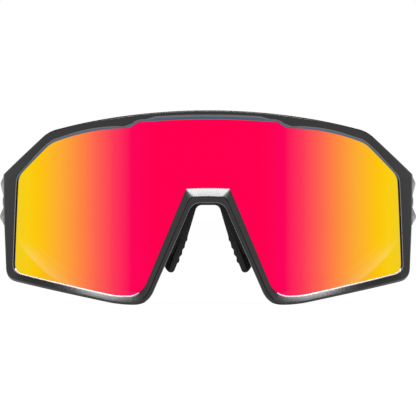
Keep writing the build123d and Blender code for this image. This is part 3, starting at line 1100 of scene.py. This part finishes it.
def inlay_gloss():
    """Black gloss strip with the faint orange peel of a moulded surface."""
    look = Look("inlay_gloss", Specular_IOR_Level=0.5, Coat_Weight=0.4, Coat_Roughness=0.04)
    look.mottle(150, 3, (0.003, 0.003, 0.0035, 1), (0.006, 0.006, 0.007, 1))
    look.scuff(500, 3, 0.08, 0.14)
    look.bump(look.noise(700, 2), 0.004)
    return look.material


# The coating's colour as screen values, at distances to the side of the lens's middle.
COAT_COLOURS = [
    (0, (255, 1, 77)),
    (18, (255, 1, 79)),
    (26, (252, 6, 90)),
    (32, (254, 56, 88)),
    (38, (253, 98, 80)),
    (44, (254, 136, 66)),
    (51, (252, 172, 50)),
    (58, (254, 195, 8)),
    (63, (250, 207, 0)),
    (70, (236, 205, 8)),
]
# Painted reflection: pale curved streaks painted into the coating's colour.
PAINTED_REFLECTION_COLOUR = (1, 0.97, 0.9, 1)
PAINTED_REFLECTION_MIDDLE = (21.3, 55.6)  # x and z of the middle that the painted reflection streaks curve round
# How strong the painted reflection streaks are at distances from that middle.
PAINTED_REFLECTION_BANDS = [(51.0, 0.0), (51.8, 0.035), (52.4, 0.01), (54.0, 0.03), (56.4, 0.09), (57.0, 0.0)]
# Strengths at two places, and the two places in metres: of the lens's darkening towards the bottom,
# and of the painted reflection streaks by distance to the side and by height.
DARKER_BELOW = (0.13, 0.0, 0.002, 0.022)
PAINTED_REFLECTION_OUTWARDS = (0.2, 1.0, 0.036, 0.06)
PAINTED_REFLECTION_UPWARDS = (1.0, 0.1, 0.0165, 0.0215)


def mirror_coat():
    """The lens's coating: magenta red in the middle, through orange to yellow at the sides."""
    look = Look("mirror_coat", Metallic=1.0)
    parts = look.add("SeparateXYZ", {"Vector": look.place()})
    away = look.add("Math", {0: parts.outputs["X"]}, operation="ABSOLUTE").outputs[0]
    height = parts.outputs["Z"]
    reach = COAT_COLOURS[-1][0]
    stops = [(away_by / reach, (*map(linear, screen), 1)) for away_by, screen in COAT_COLOURS]
    colour = look.ramp(look.spread(away, 0, 1, 0, reach / METRE), stops)
    darker = look.tint(look.spread(height, *DARKER_BELOW), colour, (0, 0, 0, 1))
    # painted reflection streaks over the coating's colour
    pale = painted_reflection_streaks(look, away, height)
    look.join(look.tint(pale, darker, PAINTED_REFLECTION_COLOUR), "Base Color")
    look.scuff(60, 3, 0.05, 0.08)
    return look.material


def painted_reflection_streaks(look, away, height):
    """How strongly the painted reflection pales the coating, in two curved streaks across each
    lower corner.
    """
    place = look.add("CombineXYZ", {"X": away, "Z": height})
    middle = Vector((PAINTED_REFLECTION_MIDDLE[0], 0, PAINTED_REFLECTION_MIDDLE[1])) / METRE
    offset = look.add("VectorMath", {0: place.outputs[0], 1: middle}, operation="DISTANCE")
    first, last = PAINTED_REFLECTION_BANDS[0][0], PAINTED_REFLECTION_BANDS[-1][0]
    share = look.spread(offset.outputs["Value"], 0, 1, first / METRE, last / METRE)
    stops = [
        ((distance - first) / (last - first), (strength, strength, strength, 1))
        for distance, strength in PAINTED_REFLECTION_BANDS
    ]
    bands = look.ramp(share, stops)
    outer = look.spread(away, *PAINTED_REFLECTION_OUTWARDS)
    lower = look.spread(height, *PAINTED_REFLECTION_UPWARDS)
    fade = look.add("Math", {0: outer, 1: lower}, operation="MULTIPLY").outputs[0]
    return look.add("Math", {0: bands, 1: fade}, operation="MULTIPLY").outputs[0]


def lens_tint():
    """The lens's bare side and edge: smoke-tinted polycarbonate."""
    look = Look("lens_tint", Specular_IOR_Level=0.6)
    look.mottle(30, 2, (0.028, 0.017, 0.016, 1), (0.036, 0.021, 0.02, 1))
    look.scuff(80, 3, 0.05, 0.1)
    return look.material


# ---- studio

# The surroundings that light the glasses are white, and dark overhead and behind: the middle of the
# dark side, and how near to it the white ends and the dark begins, with the brightness of each.
DARK_SIDE = (0.0, 0.35, 0.94)
WHITE_TO_DARK = (0.3, 0.6, 1.0, 0.12)

# In metres and watts.
FLOOR_SIZE = 12.0
SOFTBOX_PLACE = Vector((0, -0.45, 0.85))
SOFTBOX_TARGET = Vector((0, -0.08, 0.035))
SOFTBOX_WIDTH = 1.7
SOFTBOX_DEPTH = 0.22
SOFTBOX_POWER = 27.0
CAMERA_DISTANCE = 0.9  # from the rim's foremost point
CAMERA_HEIGHT = 0.0329

# In millimetres.
CAMERA_LENS = 231.0
CAMERA_SENSOR = 36.0
RIM_FRONT = 1.8  # how far the rim stands out of the lens


def surroundings():
    """White surroundings: even to the camera, and darker overhead and behind as light."""
    world = bpy.data.worlds.new("white_room")
    world.use_nodes = True
    tree = world.node_tree
    seen_white = tree.nodes["Background"]
    lighting = tree.nodes.new("ShaderNodeBackground")
    for background in (seen_white, lighting):
        background.inputs["Color"].default_value = (1, 1, 1, 1)
    toward_dark = tree.nodes.new("ShaderNodeVectorMath")
    toward_dark.operation = "DOT_PRODUCT"
    toward_dark.inputs[1].default_value = DARK_SIDE
    place = tree.nodes.new("ShaderNodeTexCoord").outputs["Generated"]
    tree.links.new(place, toward_dark.inputs[0])
    shade_map = tree.nodes.new("ShaderNodeMapRange")
    shade_map.interpolation_type = "SMOOTHSTEP"
    for socket, value in enumerate(WHITE_TO_DARK, 1):
        shade_map.inputs[socket].default_value = value
    tree.links.new(toward_dark.outputs["Value"], shade_map.inputs[0])
    tree.links.new(shade_map.outputs[0], lighting.inputs["Strength"])
    mix = tree.nodes.new("ShaderNodeMixShader")
    seen = tree.nodes.new("ShaderNodeLightPath").outputs["Is Camera Ray"]
    tree.links.new(seen, mix.inputs[0])
    tree.links.new(lighting.outputs[0], mix.inputs[1])
    tree.links.new(seen_white.outputs[0], mix.inputs[2])
    tree.links.new(mix.outputs[0], tree.nodes["World Output"].inputs["Surface"])
    bpy.context.scene.world = world


def pale_floor():
    """The table that the glasses stand on, as bright as the surroundings."""
    half = FLOOR_SIZE / 2
    corners = [(-half, -half, 0), (half, -half, 0), (half, half, 0), (-half, half, 0)]
    mesh = bpy.data.meshes.new("floor")
    mesh.from_pydata(corners, [], [(0, 1, 2, 3)])
    look = Look("pale_floor", Roughness=0.9, Specular_IOR_Level=0.0, Emission_Strength=0.97)
    look.mottle(3, 2, (0.045, 0.045, 0.045, 1), (0.055, 0.055, 0.055, 1))
    look.shader.inputs["Emission Color"].default_value = (1, 1, 1, 1)
    mesh.materials.append(look.material)
    floor_object = bpy.data.objects.new("floor", mesh)
    bpy.context.scene.collection.objects.link(floor_object)


def softbox():
    """A long soft light above and in front of the glasses."""
    light = bpy.data.lights.new("top_front_softbox", "AREA")
    light.shape = "RECTANGLE"
    light.size = SOFTBOX_WIDTH
    light.size_y = SOFTBOX_DEPTH
    light.energy = SOFTBOX_POWER
    lamp = bpy.data.objects.new("top_front_softbox", light)
    lamp.location = SOFTBOX_PLACE
    lamp.rotation_euler = (SOFTBOX_TARGET - SOFTBOX_PLACE).to_track_quat("-Z", "Y").to_euler()
    bpy.context.scene.collection.objects.link(lamp)


def camera():
    """A long lens straight in front of the glasses."""
    data = bpy.data.cameras.new("camera")
    data.lens = CAMERA_LENS
    data.sensor_width = CAMERA_SENSOR
    data.clip_start = 0.01
    data.clip_end = 50.0
    view = bpy.data.objects.new("camera", data)
    view.location = (0, (LENS_FRONT_Y - RIM_FRONT) / METRE - CAMERA_DISTANCE, CAMERA_HEIGHT)
    view.rotation_euler = (math.radians(90), 0, 0)
    bpy.context.scene.collection.objects.link(view)
    bpy.context.scene.camera = view
    bpy.context.scene.view_settings.view_transform = "Standard"


# ---- the glasses

# Materials of the metal CAD nodes that stay, by their name without the side.
HARDWARE = {
    "hinge_screw": machined("steel", (0.42, 0.42, 0.44, 1), (0.56, 0.56, 0.58, 1), 0.22, 3000),
    "hinge_washers": machined("washer_steel", (0.5, 0.5, 0.52, 1), (0.6, 0.6, 0.62, 1), 0.28, 2400),
    "temple_core": machined("core_steel", (0.4, 0.4, 0.42, 1), (0.5, 0.5, 0.52, 1), 0.3, 2000),
    "hinge_insert": machined("brass", (0.6, 0.42, 0.16, 1), (0.74, 0.55, 0.26, 1), 0.24, 2800),
    "hinge_bush": machined("bush_brass", (0.55, 0.39, 0.15, 1), (0.7, 0.52, 0.24, 1), 0.26, 2800),
}
camera()
surroundings()
pale_floor()
softbox()
plastic, rubber, gloss, carrier = frame_plastic(), soft_rubber(), inlay_gloss(), carrier_plastic()

front_rim([plastic, lip_painted_by_facing(), edge_painted_highlight(), shade_line_painted(), polished_bevel()])
shield_lens(mirror_coat(), lens_tint())
nose_pad(rubber)
for side, body in ((1, "left_temple"), (-1, "right_temple")):
    temple_arm(side, body, plastic)
    temple_grip(side, body, rubber)
    temple_inlay(side, body, gloss)

for name, node in frame["nodes"].items():
    kind = name.partition("_")[2]
    node.data.materials.clear()
    node.data.materials.append(HARDWARE.get(kind, carrier))
